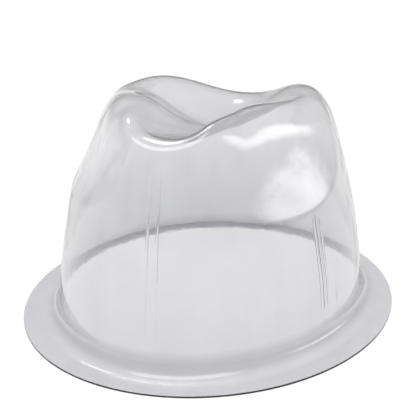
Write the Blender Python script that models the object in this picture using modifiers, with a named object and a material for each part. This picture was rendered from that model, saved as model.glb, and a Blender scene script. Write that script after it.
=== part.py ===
"""Clear hat form with a pinched front: one vacuum-formed plastic sheet, modelled in metres with +Z up.

The form stands on its flange at z = 0. The brow faces -Y and the wearer's left is +X.
"""

import math

import bmesh
import bpy

# The foot of the wall, which is as long round as a head, and the oval that the flange is trimmed to.
FOOT_HALF_LENGTH = 0.0996
FOOT_HALF_WIDTH = 0.0824
FLANGE_HALF_LENGTH = 0.1173
FLANGE_HALF_WIDTH = 0.1000
COVE_RADIUS = 0.0090
SHEET = 0.0008

# The wall leans in a little at the foot and more towards the top, where it bows by WALL_BOW * z * z.
SIDE_DRAFT = 0.046
END_DRAFT = 0.020
WALL_BOW = 1.395
BACK_FULLNESS = 0.053

# Height of the corner between wall and top, as cosines of the angle from the brow, and its dip at the brow.
RIM_MEAN = 0.1230
RIM_COSINES = (0.0034, -0.0076, 0.0004, -0.0037)
BROW_DIP = 0.0024
BROW_SPAN = 0.10

# How far the rounding of that corner reaches.
ROUND_SIDE = 0.0269
ROUND_FRONT = 0.0130
ROUND_BACK = 0.0292
FRONT_SPAN = 0.30
BACK_SPAN = 0.8

# The hollow in the top.
HOLLOW_FLOOR = 0.0929
HOLLOW_CENTRE_Y = 0.0200
HOLLOW_POWER = 1.6
ROUND_TOP_SHARE = 0.8

# The pinch on each side of the brow: a scoop with a crisp lower edge.
SCOOP_DEPTH = 0.0068
SCOOP_ANGLE = 56.0
SCOOP_HEIGHT = 0.1075
SCOOP_REACH_UP = 0.0210
SCOOP_REACH_DOWN = 0.0390
SCOOP_SPREAD_FRONT = 39.5
SCOOP_SPREAD_BACK = 42.0
SCOOP_SQUARENESS = 2.2
SCOOP_EDGE_SOFTNESS = 0.12
SCOOP_TOP_FADE = 2.0

# Shallow draw lines that run up the wall: each one's angle from the brow and the height that it ends at.
LINES = ((0.0, 0.1040), (67.0, 0.0700), (180.0, 0.0950), (293.0, 0.0700))
LINE_HALF_ANGLE = 2.3
LINE_FLAT_HALF_ANGLE = 1.6
LINE_DEPTH = 0.0004
LINE_START = 0.0160
LINE_FADE = 0.0060

# Mesh density.
COLUMN_STEP = 4.6
FLANGE_ROWS = 2
COVE_ROWS = 5
WALL_ROWS = 9
ROUND_ROWS = 6
TOP_ROWS = 5

FORM_COLOUR = (0.86, 0.87, 0.90, 0.30)
FORM_ROUGHNESS = 0.08


def clear_scene():
    for item in list(bpy.data.objects):
        bpy.data.objects.remove(item, do_unlink=True)


def make_collection(name):
    collection = bpy.data.collections.new(name)
    bpy.context.scene.collection.children.link(collection)
    return collection


def clear_plastic():
    material = bpy.data.materials.new("clear_plastic")
    material.use_nodes = True
    shader = material.node_tree.nodes["Principled BSDF"]
    shader.inputs["Base Color"].default_value = (*FORM_COLOUR[:3], 1.0)
    shader.inputs["Roughness"].default_value = FORM_ROUGHNESS
    shader.inputs["Metallic"].default_value = 0.0
    shader.inputs["Alpha"].default_value = FORM_COLOUR[3]
    return material


def smooth_step(t):
    t = min(max(t, 0.0), 1.0)
    return t * t * t * (t * (6.0 * t - 15.0) + 10.0)


def blend(start, end, share):
    return start + (end - start) * share


def column_angles():
    """Angles from the brow towards +X: four columns at each draw line, and even steps between the lines."""
    angles = []
    for index, (line, _) in enumerate(LINES):
        following = LINES[(index + 1) % len(LINES)][0]
        gap = (following - line) % 360.0 - 2.0 * LINE_HALF_ANGLE
        for side in (-LINE_HALF_ANGLE, -LINE_FLAT_HALF_ANGLE, LINE_FLAT_HALF_ANGLE, LINE_HALF_ANGLE):
            angles.append(line + side)
        steps = round(gap / COLUMN_STEP)
        for step in range(1, steps):
            angles.append(line + LINE_HALF_ANGLE + gap * step / steps)
    return [math.radians(angle) for angle in angles]


def rim_height(angle):
    waves = sum(size * math.cos((order + 1) * angle) for order, size in enumerate(RIM_COSINES))
    dip = BROW_DIP * smooth_step((math.cos(angle) - 1.0 + BROW_SPAN) / BROW_SPAN)
    return RIM_MEAN + waves - dip


def rounding(angle):
    front = smooth_step((math.cos(angle) - 1.0 + FRONT_SPAN) / FRONT_SPAN)
    back = smooth_step((-math.cos(angle) - 1.0 + BACK_SPAN) / BACK_SPAN)
    return ROUND_SIDE + (ROUND_FRONT - ROUND_SIDE) * front + (ROUND_BACK - ROUND_SIDE) * back


def wall_point(angle, z, outset=0.0):
    """A point of the plain wall, before the scoops and the draw lines."""
    lean = WALL_BOW * z * z - outset
    half_width = FOOT_HALF_WIDTH - SIDE_DRAFT * z - lean
    half_length = FOOT_HALF_LENGTH - END_DRAFT * z - lean
    fullness = 1.0 - BACK_FULLNESS * math.cos(angle)
    return (half_width * fullness * math.sin(angle), -half_length * math.cos(angle), z)


def top_point(corner, share):
    """A point of the hollow top, from the corner at share 0 to the middle of the hollow at share 1."""
    left = 1.0 - share
    z = blend(HOLLOW_FLOOR, corner[2], left ** HOLLOW_POWER)
    return (corner[0] * left, blend(HOLLOW_CENTRE_Y, corner[1], left), z)


def curve_point(start, control, end, t):
    """A point of a quadratic curve, which rounds the corner between the wall and the top."""
    weights = ((1.0 - t) ** 2, 2.0 * t * (1.0 - t), t * t)
    return tuple(
        weights[0] * a + weights[1] * b + weights[2] * c for a, b, c in zip(start, control, end)
    )


def flange_points(angle):
    """The flange from its trimmed edge inwards, then the cove up to the wall."""
    edge = (FLANGE_HALF_WIDTH * math.sin(angle), -FLANGE_HALF_LENGTH * math.cos(angle))
    cove_edge = wall_point(angle, 0.0, COVE_RADIUS)
    points = []
    for row in range(FLANGE_ROWS):
        x, y = (blend(outer, inner, row / FLANGE_ROWS) for outer, inner in zip(edge, cove_edge))
        points.append((x, y, SHEET))
    for row in range(COVE_ROWS):
        turn = 0.5 * math.pi * row / COVE_ROWS
        rise = COVE_RADIUS * (1.0 - math.cos(turn))
        x, y, _ = wall_point(angle, rise, COVE_RADIUS * (1.0 - math.sin(turn)))
        points.append((x, y, SHEET + rise))
    return points


def crown_points(angle):
    """The wall from the cove up, the rounded corner, and the hollow top down to its middle."""
    height = rim_height(angle)
    reach = rounding(angle)
    foot = COVE_RADIUS + SHEET
    corner = wall_point(angle, height)
    points = [
        wall_point(angle, blend(foot, height - reach, row / WALL_ROWS)) for row in range(WALL_ROWS)
    ]
    wall_end = wall_point(angle, height - reach)
    inward = math.hypot(corner[0], corner[1] - HOLLOW_CENTRE_Y)
    top_share = min(reach / inward, ROUND_TOP_SHARE)
    top_start = top_point(corner, top_share)
    for row in range(ROUND_ROWS):
        points.append(curve_point(wall_end, corner, top_start, row / ROUND_ROWS))
    for row in range(TOP_ROWS):
        points.append(top_point(corner, blend(top_share, 1.0, row / TOP_ROWS)))
    return points


def degrees_between(first, second):
    return abs((first - second + 180.0) % 360.0 - 180.0)


def scoop_depth(angle, z):
    """How far the two pinches push a point in. The depth falls off as a bowl and ends at a crisp edge."""
    across = degrees_between(math.degrees(angle), 0.0) - SCOOP_ANGLE
    across /= SCOOP_SPREAD_BACK if across > 0.0 else SCOOP_SPREAD_FRONT
    up = z - SCOOP_HEIGHT
    up /= SCOOP_REACH_UP if up > 0.0 else SCOOP_REACH_DOWN
    power = SCOOP_SQUARENESS
    inside = 1.0 - (abs(across) ** power + abs(up) ** power) ** (2.0 / power)
    return 0.5 * SCOOP_DEPTH * (inside + math.hypot(inside, SCOOP_EDGE_SOFTNESS))


def line_depth(angle, z):
    """How far a draw line pushes a point in. Each line starts above the cove and fades out at its own height."""
    off_line, end = min((degrees_between(math.degrees(angle), line), end) for line, end in LINES)
    across = smooth_step((LINE_HALF_ANGLE - off_line) / (LINE_HALF_ANGLE - LINE_FLAT_HALF_ANGLE))
    along = smooth_step((z - LINE_START) / LINE_FADE) * smooth_step((end - z) / LINE_FADE)
    return LINE_DEPTH * across * along


def pushed_in(point, angle, depth):
    """The point moved level towards the middle, square to the wall's oval."""
    x, y, z = point
    return (x - depth * math.sin(angle), y + depth * math.cos(angle), z)


def column_points(angle):
    points = flange_points(angle)
    for row, point in enumerate(crown_points(angle)):
        rows_on_top = max(row - WALL_ROWS - ROUND_ROWS + 1, 0)
        fade = (1.0 - rows_on_top / (TOP_ROWS + 1)) ** SCOOP_TOP_FADE
        depth = fade * scoop_depth(angle, point[2])
        if rows_on_top == 0:
            depth += line_depth(angle, point[2])
        points.append(pushed_in(point, angle, depth))
    return points


def make_form_mesh():
    """The outer face of the sheet: columns of points around the form, closed at the middle of the hollow."""
    grid = bmesh.new()
    columns = [[grid.verts.new(point) for point in column_points(angle)] for angle in column_angles()]
    middle = grid.verts.new((0.0, HOLLOW_CENTRE_Y, HOLLOW_FLOOR))
    for column, following in zip(columns, columns[1:] + columns[:1]):
        for row in range(len(column) - 1):
            grid.faces.new((column[row], following[row], following[row + 1], column[row + 1]))
        grid.faces.new((column[-1], following[-1], middle))
    mesh = bpy.data.meshes.new("formed_sheet")
    grid.to_mesh(mesh)
    grid.free()
    mesh.shade_smooth()
    return mesh


def add_formed_sheet(collection):
    form = bpy.data.objects.new("formed_sheet", make_form_mesh())
    collection.objects.link(form)
    form.data.materials.append(clear_plastic())
    wall = form.modifiers.new("wall thickness", "SOLIDIFY")
    wall.thickness = SHEET
    wall.offset = -1.0
    wall.use_even_offset = True
    return form


def main():
    clear_scene()
    collection = make_collection("hat_form")
    add_formed_sheet(collection)


main()
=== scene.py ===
import math

import bmesh
import bpy
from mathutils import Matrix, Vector


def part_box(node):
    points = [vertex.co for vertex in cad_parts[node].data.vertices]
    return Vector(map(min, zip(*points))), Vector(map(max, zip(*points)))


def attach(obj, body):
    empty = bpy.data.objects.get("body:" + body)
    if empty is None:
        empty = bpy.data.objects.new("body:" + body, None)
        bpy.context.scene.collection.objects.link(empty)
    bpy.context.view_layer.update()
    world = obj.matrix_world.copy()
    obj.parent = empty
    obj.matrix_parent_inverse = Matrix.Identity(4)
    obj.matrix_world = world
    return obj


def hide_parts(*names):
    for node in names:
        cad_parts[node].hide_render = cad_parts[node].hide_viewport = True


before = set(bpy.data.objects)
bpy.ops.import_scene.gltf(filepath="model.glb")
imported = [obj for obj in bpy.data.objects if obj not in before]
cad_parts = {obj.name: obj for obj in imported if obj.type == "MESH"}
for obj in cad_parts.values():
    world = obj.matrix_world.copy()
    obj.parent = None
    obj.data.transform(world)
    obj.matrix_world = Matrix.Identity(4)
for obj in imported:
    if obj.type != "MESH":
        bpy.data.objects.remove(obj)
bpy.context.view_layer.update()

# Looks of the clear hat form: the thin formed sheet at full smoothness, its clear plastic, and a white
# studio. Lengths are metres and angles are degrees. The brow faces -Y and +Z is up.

# The foot of the wall and the cove, as in the CAD. The flange's oval is read from the CAD node.
FOOT_HALF_LENGTH = 0.0996
FOOT_HALF_WIDTH = 0.0824
COVE_RADIUS = 0.0090
SHEET = 0.0008
EDGE_BEVEL = 0.00030
EDGE_SEGMENTS = 3
EDGE_SHARPNESS = 60.0

# The wall leans in a little at the foot and more towards the top, where it bows by WALL_BOW * z * z.
SIDE_DRAFT = 0.046
END_DRAFT = 0.020
WALL_BOW = 1.395
BACK_FULLNESS = 0.053

# Height of the corner between wall and top, as cosines of the angle from the brow, and its dip there.
RIM_MEAN = 0.1230
RIM_COSINES = (0.0034, -0.0076, 0.0004, -0.0037)
BROW_DIP = 0.0024
BROW_SPAN = 0.10

# How far the rounding of that corner reaches.
ROUND_SIDE = 0.0269
ROUND_FRONT = 0.0130
ROUND_BACK = 0.0292
FRONT_SPAN = 0.30
BACK_SPAN = 0.8

# The hollow in the top.
HOLLOW_FLOOR = 0.0929
HOLLOW_CENTRE_Y = 0.0200
HOLLOW_POWER = 1.6
ROUND_TOP_SHARE = 0.8

# The pinch on each side of the brow: a scoop with a crisp lower edge.
SCOOP_DEPTH = 0.0068
SCOOP_ANGLE = 56.0
SCOOP_HEIGHT = 0.1075
SCOOP_REACH_UP = 0.0210
SCOOP_REACH_DOWN = 0.0390
SCOOP_SPREAD_FRONT = 39.5
SCOOP_SPREAD_BACK = 42.0
SCOOP_SQUARENESS = 2.2
SCOOP_EDGE_SOFTNESS = 0.05
SCOOP_TOP_FADE = 2.0

# Draw lines up the wall: fine grooves, as (angle from the brow, height that it ends at, depth).
FRONT_LINES = ((-2.1, 0.1000, 0.00022), (1.9, 0.1000, 0.00024), (3.1, 0.0500, 0.00008))
SIDE_LINES = (
    (64.8, 0.0700, 0.00012),
    (66.4, 0.0710, 0.00016),
    (68.2, 0.0700, 0.00010),
    (73.5, 0.0300, 0.00008),
)
BACK_LINES = ((178.2, 0.0950, 0.00012), (181.8, 0.0950, 0.00012))
LINE_HALF_WIDTH = 0.45
LINE_START = 0.0140
LINE_FADE = 0.0080

# Slow waves left in the sheet by the forming, as (height, waves round, waves per metre up, phase).
SHEET_WAVES = (
    (0.00008, 5.0, 23.0, 0.4),
    (0.00004, 9.0, -37.0, 1.9),
    (0.00002, 13.0, 52.0, 3.1),
    (0.00001, 23.0, -21.0, 5.2),
)
WAVE_FOOT = 0.0120

# Mesh density. The dense columns of a draw line reach past its groove, and even columns keep clear of them.
COLUMN_STEP = 1.2
LINE_COLUMNS = 7
LINE_REACH = 1.4 * LINE_HALF_WIDTH
LINE_CLEARANCE = 0.3
ANGLE_DIGITS = 3
FLANGE_ROWS = 8
COVE_ROWS = 16
WALL_ROWS = 66
ROUND_ROWS = 30
TOP_ROWS = 34

# The view: where the camera looks, from where, and how the picture is framed.
TARGET = Vector((0.0, 0.0, 0.050))
VIEW_AZIMUTH = 17.08
VIEW_ELEVATION = 19.67
VIEW_DISTANCE = 0.5768
VIEW_ROLL = -0.31
LENS = 91.45
SENSOR = 36.0
SHIFT_X = -0.0055
SHIFT_Y = 0.0061

# Tint of the sheet by height, partly the plastic's own cool tint and partly painted shade. The sheet is
# thickest in the flange and the cove, where the forming stretched it least, which gives part of the
# darkening there. The rest of the darkening at the cove and low on the wall is painted shade for the dark
# band along the foot. The lighter top is painted too.
TINT_SHADE_HEIGHT = 0.1200
TINT_AND_PAINTED_SHADE = (
    (0.008, (0.785, 0.778, 0.812)),
    (0.033, (0.600, 0.598, 0.620)),
    (0.075, (0.560, 0.558, 0.580)),
    (0.115, (0.700, 0.701, 0.717)),
    (0.420, (0.755, 0.756, 0.770)),
    (0.640, (0.825, 0.825, 0.838)),
    (0.860, (0.900, 0.900, 0.911)),
    (1.000, (0.915, 0.915, 0.925)),
)

# The rest of the plastic's look. Each grain is a noise as (waves per metre, detail).
PLASTIC_IOR = 1.55
HAZE_GRAIN = (55.0, 4.0)
HAZE_TINTS = ((0.35, (0.965, 0.965, 0.97)), (0.65, (1.0, 1.0, 1.0)))
STREAK_STRETCH = (1.0, 1.0, 0.18)
SHINE_GRAIN = (60.0, 4.0)
SHINE_SPREAD = (0.35, 0.7)
SHINE_ROUGHNESS = (0.02, 0.07)
RIPPLE_GRAIN = (90.0, 2.0)
RIPPLE_STRENGTH = 0.25
RIPPLE_HEIGHT = 0.0004

# The white floor glows, so the form throws no shadow on it.
SWEEP_SIZE = 8.0
SWEEP_CELLS = 8
SWEEP_GAP = 0.0002
SWEEP_GLOW = 0.90
PAPER_GRAIN = (40.0, 2.0)
PAPER_TINTS = ((0.35, (0.14, 0.14, 0.14)), (0.65, (0.16, 0.16, 0.16)))

# White light comes from all round. What the plastic mirrors is a dim room over a white table.
WHITE_LIGHT = 1.05
TABLE_LEVEL = 1.05
ROOM_LEVEL = 0.30
TABLE_FADE = (-9.0, 9.0)

# Round lights in the room: (azimuth, elevation, angle of the full part, angle of the edge, level).
CORE_BOX = (113.0, 16.0, 8.0, 25.0, 2.6)
REAR_BOX = (-147.0, 50.0, 3.0, 14.0, 4.6)
WINDOW = (98.0, 22.0, 44.0, 50.0, 0.22)

# The window and the core light show only in a slanting band with soft edges. The band's sill runs
# through two directions, each as (azimuth, elevation).
SILL_FROM = (134.0, 8.0)
SILL_TO = (87.0, 24.0)
SILL_EDGE = (-0.085, 0.020)
HEAD_EDGE = (0.050, 0.130)

# A strip light along X overhead: (first angle, last angle, soft edge, reach along X, level).
# The angles go from 0 in front of the brow, over 90 straight up, to 180 behind.
STRIP = (68.0, 88.0, 5.0, 0.45, 2.4)


def smooth_step(t):
    t = min(max(t, 0.0), 1.0)
    return t * t * t * (t * (6.0 * t - 15.0) + 10.0)


def blend(start, end, share):
    return start + (end - start) * share


def degrees_between(first, second):
    return abs((first - second + 180.0) % 360.0 - 180.0)


# --- the sheet's shape ---


def draw_lines():
    """Every draw line as (angle, end height, depth), with the side group on both sides."""
    mirrored = tuple((360.0 - angle, end, depth) for angle, end, depth in SIDE_LINES)
    return FRONT_LINES + SIDE_LINES + BACK_LINES + mirrored


def column_angles(lines):
    """Angles from the brow towards +X in even steps, with a dense run of columns across each draw line."""
    near = {round(angle % 360.0, ANGLE_DIGITS) for angle, _, _ in lines}
    clear = LINE_REACH + LINE_CLEARANCE
    even = [index * COLUMN_STEP for index in range(round(360.0 / COLUMN_STEP))]
    angles = [angle for angle in even if all(degrees_between(angle, line) > clear for line in near)]
    for line in near:
        for column in range(LINE_COLUMNS):
            off_line = blend(-LINE_REACH, LINE_REACH, column / (LINE_COLUMNS - 1))
            angles.append((line + off_line) % 360.0)
    return [math.radians(angle) for angle in sorted(angles)]


def rim_height(angle):
    waves = sum(size * math.cos((order + 1) * angle) for order, size in enumerate(RIM_COSINES))
    dip = BROW_DIP * smooth_step((math.cos(angle) - 1.0 + BROW_SPAN) / BROW_SPAN)
    return RIM_MEAN + waves - dip


def rounding(angle):
    front = smooth_step((math.cos(angle) - 1.0 + FRONT_SPAN) / FRONT_SPAN)
    back = smooth_step((-math.cos(angle) - 1.0 + BACK_SPAN) / BACK_SPAN)
    return ROUND_SIDE + (ROUND_FRONT - ROUND_SIDE) * front + (ROUND_BACK - ROUND_SIDE) * back


def wall_point(angle, z, outset=0.0):
    """A point of the plain wall, before the scoops and the draw lines."""
    lean = WALL_BOW * z * z - outset
    half_width = FOOT_HALF_WIDTH - SIDE_DRAFT * z - lean
    half_length = FOOT_HALF_LENGTH - END_DRAFT * z - lean
    fullness = 1.0 - BACK_FULLNESS * math.cos(angle)
    return (half_width * fullness * math.sin(angle), -half_length * math.cos(angle), z)


def top_point(corner, share):
    """A point of the hollow top, from the corner at share 0 to the middle of the hollow at share 1."""
    left = 1.0 - share
    z = blend(HOLLOW_FLOOR, corner[2], left ** HOLLOW_POWER)
    return (corner[0] * left, blend(HOLLOW_CENTRE_Y, corner[1], left), z)


def curve_point(start, control, end, t):
    """A point of a quadratic curve, which rounds the corner between the wall and the top."""
    weights = ((1.0 - t) ** 2, 2.0 * t * (1.0 - t), t * t)
    return tuple(
        weights[0] * a + weights[1] * b + weights[2] * c for a, b, c in zip(start, control, end)
    )


def flange_points(angle, half_width, half_length):
    """The flange from its trimmed edge inwards, then the cove up to the wall."""
    edge = (half_width * math.sin(angle), -half_length * math.cos(angle))
    cove_edge = wall_point(angle, 0.0, COVE_RADIUS)
    points = []
    for row in range(FLANGE_ROWS):
        x, y = (blend(outer, inner, row / FLANGE_ROWS) for outer, inner in zip(edge, cove_edge))
        points.append((x, y, SHEET))
    for row in range(COVE_ROWS):
        turn = 0.5 * math.pi * row / COVE_ROWS
        rise = COVE_RADIUS * (1.0 - math.cos(turn))
        x, y, _ = wall_point(angle, rise, COVE_RADIUS * (1.0 - math.sin(turn)))
        points.append((x, y, SHEET + rise))
    return points


def crown_points(angle):
    """The wall from the cove up, the rounded corner, and the hollow top down to its middle."""
    height = rim_height(angle)
    reach = rounding(angle)
    foot = COVE_RADIUS + SHEET
    corner = wall_point(angle, height)
    points = [
        wall_point(angle, blend(foot, height - reach, row / WALL_ROWS)) for row in range(WALL_ROWS)
    ]
    wall_end = wall_point(angle, height - reach)
    inward = math.hypot(corner[0], corner[1] - HOLLOW_CENTRE_Y)
    top_share = min(reach / inward, ROUND_TOP_SHARE)
    top_start = top_point(corner, top_share)
    for row in range(ROUND_ROWS):
        points.append(curve_point(wall_end, corner, top_start, row / ROUND_ROWS))
    for row in range(TOP_ROWS):
        points.append(top_point(corner, blend(top_share, 1.0, row / TOP_ROWS)))
    return points


def scoop_depth(angle, z):
    """How far the two pinches push a point in. The depth falls off as a bowl and ends at a crisp edge."""
    across = degrees_between(math.degrees(angle), 0.0) - SCOOP_ANGLE
    across /= SCOOP_SPREAD_BACK if across > 0.0 else SCOOP_SPREAD_FRONT
    up = z - SCOOP_HEIGHT
    up /= SCOOP_REACH_UP if up > 0.0 else SCOOP_REACH_DOWN
    power = SCOOP_SQUARENESS
    inside = 1.0 - (abs(across) ** power + abs(up) ** power) ** (2.0 / power)
    return 0.5 * SCOOP_DEPTH * (inside + math.hypot(inside, SCOOP_EDGE_SOFTNESS))


def line_depth(angle, z, lines):
    """How far the draw lines push a point in: each is a round-edged groove between two heights."""
    depth = 0.0
    for line, end, deep in lines:
        across = 1.0 - degrees_between(math.degrees(angle), line) / LINE_HALF_WIDTH
        if across > 0.0:
            along = smooth_step((z - LINE_START) / LINE_FADE) * smooth_step((end - z) / LINE_FADE)
            depth += deep * smooth_step(across) * along
    return depth


def wave_depth(angle, z):
    """The slow waves of the formed sheet, which die out at the cove."""
    rise = smooth_step((z - WAVE_FOOT) / WAVE_FOOT)
    waves = (
        size * math.sin(round_count * angle + 2.0 * math.pi * up_count * z + phase)
        for size, round_count, up_count, phase in SHEET_WAVES
    )
    return rise * sum(waves)


def pushed_in(point, angle, depth):
    """The point moved level towards the middle, square to the wall's oval."""
    x, y, z = point
    return (x - depth * math.sin(angle), y + depth * math.cos(angle), z)


def column_points(angle, lines, half_width, half_length):
    points = flange_points(angle, half_width, half_length)
    for row, point in enumerate(crown_points(angle)):
        rows_on_top = max(row - WALL_ROWS - ROUND_ROWS + 1, 0)
        left = 1.0 - rows_on_top / (TOP_ROWS + 1)
        depth = left ** SCOOP_TOP_FADE * scoop_depth(angle, point[2])
        depth += left ** SCOOP_TOP_FADE * wave_depth(angle, point[2])
        if rows_on_top == 0:
            depth += line_depth(angle, point[2], lines)
        points.append(pushed_in(point, angle, depth))
    return points


def make_sheet_mesh():
    """The outer face of the sheet: columns of points round the form, closed at the middle of the hollow."""
    low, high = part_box("formed_sheet")
    half_width = 0.5 * (high.x - low.x)
    half_length = 0.5 * (high.y - low.y)
    lines = draw_lines()
    grid = bmesh.new()
    columns = [
        [grid.verts.new(point) for point in column_points(angle, lines, half_width, half_length)]
        for angle in column_angles(lines)
    ]
    middle = grid.verts.new((0.0, HOLLOW_CENTRE_Y, HOLLOW_FLOOR))
    for column, following in zip(columns, columns[1:] + columns[:1]):
        for row in range(len(column) - 1):
            grid.faces.new((column[row], following[row], following[row + 1], column[row + 1]))
        grid.faces.new((column[-1], following[-1], middle))
    mesh = bpy.data.meshes.new("clear_formed_sheet")
    grid.to_mesh(mesh)
    grid.free()
    mesh.shade_smooth()
    return mesh


def link(item):
    bpy.context.scene.collection.objects.link(item)
    return item


def add_sheet():
    sheet = link(bpy.data.objects.new("clear_formed_sheet", make_sheet_mesh()))
    sheet.data.materials.append(clear_plastic())
    wall = sheet.modifiers.new("wall thickness", "SOLIDIFY")
    wall.thickness = SHEET
    wall.offset = -1.0
    wall.use_even_offset = True
    edge = sheet.modifiers.new("softened trimmed edge", "BEVEL")
    edge.width = EDGE_BEVEL
    edge.segments = EDGE_SEGMENTS
    edge.limit_method = "ANGLE"
    edge.angle_limit = math.radians(EDGE_SHARPNESS)
    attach(sheet, "root")
    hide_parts("formed_sheet")
    return sheet


# --- materials ---


def add_noise(tree, where, scale, detail):
    noise = tree.nodes.new("ShaderNodeTexNoise")
    noise.inputs["Scale"].default_value = scale
    noise.inputs["Detail"].default_value = detail
    tree.links.new(where, noise.inputs["Vector"])
    return noise.outputs["Fac"]


def add_range(tree, value, low_in, high_in, low, high, kind="LINEAR"):
    scaled = tree.nodes.new("ShaderNodeMapRange")
    scaled.interpolation_type = kind
    scaled.inputs["From Min"].default_value = low_in
    scaled.inputs["From Max"].default_value = high_in
    scaled.inputs["To Min"].default_value = low
    scaled.inputs["To Max"].default_value = high
    tree.links.new(value, scaled.inputs["Value"])
    return scaled.outputs["Result"]


def add_ramp(tree, value, stops):
    """Colour from a value between 0 and 1, with each stop given as (position, colour)."""
    ramp = tree.nodes.new("ShaderNodeValToRGB")
    elements = ramp.color_ramp.elements
    while len(elements) < len(stops):
        elements.new(1.0)
    for element, (position, colour) in zip(elements, stops):
        element.position = position
        element.color = (*colour, 1.0)
    tree.links.new(value, ramp.inputs["Fac"])
    return ramp.outputs["Color"]


def add_product(tree, first, second):
    product = tree.nodes.new("ShaderNodeVectorMath")
    product.operation = "MULTIPLY"
    tree.links.new(first, product.inputs[0])
    tree.links.new(second, product.inputs[1])
    return product.outputs["Vector"]


def clear_plastic():
    """Clear plastic sheet: a cool tint by height that also carries painted shade, darkest at the cove and
    lighter at the top, a film of streaky haze, and a slightly rippled face.
    """
    material = bpy.data.materials.new("clear_plastic")
    material.use_nodes = True
    tree = material.node_tree
    shader = tree.nodes["Principled BSDF"]
    shader.inputs["Transmission Weight"].default_value = 1.0
    shader.inputs["IOR"].default_value = PLASTIC_IOR
    where = tree.nodes.new("ShaderNodeTexCoord").outputs["Object"]
    apart = tree.nodes.new("ShaderNodeSeparateXYZ")
    tree.links.new(where, apart.inputs["Vector"])
    # The tint by height is partly painted shade: darkest at the cove and foot of the wall, lighter towards
    # the top.
    height = add_range(tree, apart.outputs["Z"], 0.0, TINT_SHADE_HEIGHT, 0.0, 1.0)
    tint_and_shade = add_ramp(tree, height, TINT_AND_PAINTED_SHADE)
    streaked = tree.nodes.new("ShaderNodeMapping")
    streaked.inputs["Scale"].default_value = STREAK_STRETCH
    tree.links.new(where, streaked.inputs["Vector"])
    haze = add_ramp(tree, add_noise(tree, streaked.outputs["Vector"], *HAZE_GRAIN), HAZE_TINTS)
    tree.links.new(add_product(tree, tint_and_shade, haze), shader.inputs["Base Color"])
    shine = add_range(tree, add_noise(tree, where, *SHINE_GRAIN), *SHINE_SPREAD, *SHINE_ROUGHNESS)
    tree.links.new(shine, shader.inputs["Roughness"])
    bump = tree.nodes.new("ShaderNodeBump")
    bump.inputs["Strength"].default_value = RIPPLE_STRENGTH
    bump.inputs["Distance"].default_value = RIPPLE_HEIGHT
    tree.links.new(add_noise(tree, where, *RIPPLE_GRAIN), bump.inputs["Height"])
    tree.links.new(bump.outputs["Normal"], shader.inputs["Normal"])
    return material


def sweep_white():
    material = bpy.data.materials.new("sweep_white")
    material.use_nodes = True
    tree = material.node_tree
    shader = tree.nodes["Principled BSDF"]
    shader.inputs["Roughness"].default_value = 1.0
    shader.inputs["Specular IOR Level"].default_value = 0.0
    where = tree.nodes.new("ShaderNodeTexCoord").outputs["Object"]
    paper = add_ramp(tree, add_noise(tree, where, *PAPER_GRAIN), PAPER_TINTS)
    tree.links.new(paper, shader.inputs["Base Color"])
    shader.inputs["Emission Color"].default_value = (1.0, 1.0, 1.0, 1.0)
    shader.inputs["Emission Strength"].default_value = SWEEP_GLOW
    return material


# --- the studio ---


def add_floor():
    grid = bmesh.new()
    bmesh.ops.create_grid(grid, x_segments=SWEEP_CELLS, y_segments=SWEEP_CELLS, size=0.5 * SWEEP_SIZE)
    mesh = bpy.data.meshes.new("white_floor")
    grid.to_mesh(mesh)
    grid.free()
    floor = link(bpy.data.objects.new("white_floor", mesh))
    floor.location.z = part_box("formed_sheet")[0].z - SWEEP_GAP
    mesh.materials.append(sweep_white())
    floor.visible_glossy = False


def direction_of(azimuth, elevation):
    """Unit vector from the form towards a place in the studio. Azimuth 0 is before the brow, 90 is +X."""
    across, up = math.radians(azimuth), math.radians(elevation)
    return (math.sin(across) * math.cos(up), -math.cos(across) * math.cos(up), math.sin(up))


def add_math(tree, operation, first, second):
    step = tree.nodes.new("ShaderNodeMath")
    step.operation = operation
    for socket, value in zip(step.inputs, (first, second)):
        if isinstance(value, float):
            socket.default_value = value
        else:
            tree.links.new(value, socket)
    return step.outputs["Value"]


def add_softbox(tree, where, azimuth, elevation, full_angle, edge_angle, level):
    """Light from a round patch of the room, full inside one angle from its middle and gone at the other."""
    nearness = tree.nodes.new("ShaderNodeVectorMath")
    nearness.operation = "DOT_PRODUCT"
    tree.links.new(where, nearness.inputs[0])
    nearness.inputs[1].default_value = direction_of(azimuth, elevation)
    full, edge = math.cos(math.radians(full_angle)), math.cos(math.radians(edge_angle))
    return add_range(tree, nearness.outputs["Value"], edge, full, 0.0, level, "SMOOTHSTEP")


def add_band(tree, where):
    """One between the slanting band's sill and its head, and zero outside them."""
    upright = Vector(direction_of(*SILL_TO)).cross(Vector(direction_of(*SILL_FROM))).normalized()
    height = tree.nodes.new("ShaderNodeVectorMath")
    height.operation = "DOT_PRODUCT"
    tree.links.new(where, height.inputs[0])
    height.inputs[1].default_value = upright if upright.z > 0.0 else -upright
    above = add_range(tree, height.outputs["Value"], *SILL_EDGE, 0.0, 1.0, "SMOOTHSTEP")
    under = add_range(tree, height.outputs["Value"], *HEAD_EDGE, 1.0, 0.0, "SMOOTHSTEP")
    return add_math(tree, "MULTIPLY", above, under)


def add_strip(tree, apart, first, last, soft, reach, level):
    """Light from a long strip overhead, level inside its edges and faded over the soft angle."""
    forward = add_math(tree, "MULTIPLY", apart["Y"], -1.0)
    turn = add_math(tree, "ARCTAN2", apart["Z"], forward)
    first, last, soft = (math.radians(angle) for angle in (first, last, soft))
    begins = add_range(tree, turn, first - soft, first + soft, 0.0, level, "SMOOTHSTEP")
    ends = add_range(tree, turn, last - soft, last + soft, 1.0, 0.0, "SMOOTHSTEP")
    aside = add_math(tree, "ABSOLUTE", apart["X"], 0.0)
    within = add_range(tree, aside, reach - soft, reach + soft, 1.0, 0.0, "SMOOTHSTEP")
    return add_math(tree, "MULTIPLY", add_math(tree, "MULTIPLY", begins, ends), within)


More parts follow.
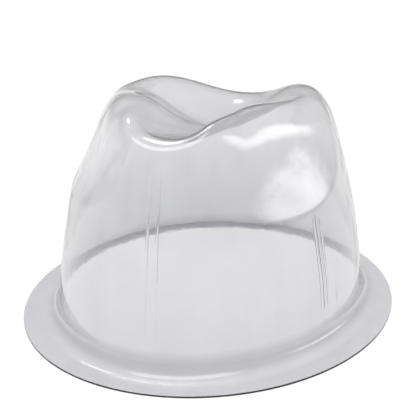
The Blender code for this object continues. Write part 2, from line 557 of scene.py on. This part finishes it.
def add_table_and_room(tree, apart):
    """The table's level below the horizon, fading to the room's level above it."""
    low, high = (math.sin(math.radians(elevation)) for elevation in TABLE_FADE)
    return add_range(tree, apart["Z"], low, high, TABLE_LEVEL, ROOM_LEVEL, "SMOOTHSTEP")


def add_world():
    """Even white light all round. What the plastic mirrors is a dim room with a few soft lights."""
    world = bpy.data.worlds.new("studio")
    bpy.context.scene.world = world
    world.use_nodes = True
    tree = world.node_tree
    where = tree.nodes.new("ShaderNodeTexCoord").outputs["Generated"]
    separate = tree.nodes.new("ShaderNodeSeparateXYZ")
    tree.links.new(where, separate.inputs["Vector"])
    apart = separate.outputs
    panes = add_math(tree, "ADD", add_softbox(tree, where, *WINDOW), add_softbox(tree, where, *CORE_BOX))
    window = add_math(tree, "MULTIPLY", add_band(tree, where), panes)
    room = add_table_and_room(tree, apart)
    for light in (window, add_softbox(tree, where, *REAR_BOX), add_strip(tree, apart, *STRIP)):
        room = add_math(tree, "ADD", light, room)
    path = tree.nodes.new("ShaderNodeLightPath").outputs
    mirrored = add_math(tree, "GREATER_THAN", path["Glossy Depth"], 0.5)
    change = add_math(tree, "MULTIPLY", mirrored, add_math(tree, "SUBTRACT", room, WHITE_LIGHT))
    level = add_math(tree, "ADD", change, WHITE_LIGHT)
    tree.nodes["Background"].inputs["Color"].default_value = (1.0, 1.0, 1.0, 1.0)
    tree.links.new(level, tree.nodes["Background"].inputs["Strength"])


def add_camera():
    data = bpy.data.cameras.new("camera")
    data.lens = LENS
    data.sensor_width = SENSOR
    data.shift_x = SHIFT_X
    data.shift_y = SHIFT_Y
    camera = link(bpy.data.objects.new("camera", data))
    azimuth = math.radians(VIEW_AZIMUTH)
    elevation = math.radians(VIEW_ELEVATION)
    level = math.cos(elevation)
    away = Vector((math.sin(azimuth) * level, -math.cos(azimuth) * level, math.sin(elevation)))
    camera.location = TARGET + VIEW_DISTANCE * away
    camera.rotation_euler = away.to_track_quat("Z", "Y").to_euler()
    camera.rotation_euler.rotate_axis("Z", math.radians(VIEW_ROLL))
    bpy.context.scene.camera = camera


def main():
    add_camera()
    add_world()
    add_floor()
    add_sheet()
    bpy.context.scene.view_settings.view_transform = "Standard"


main()
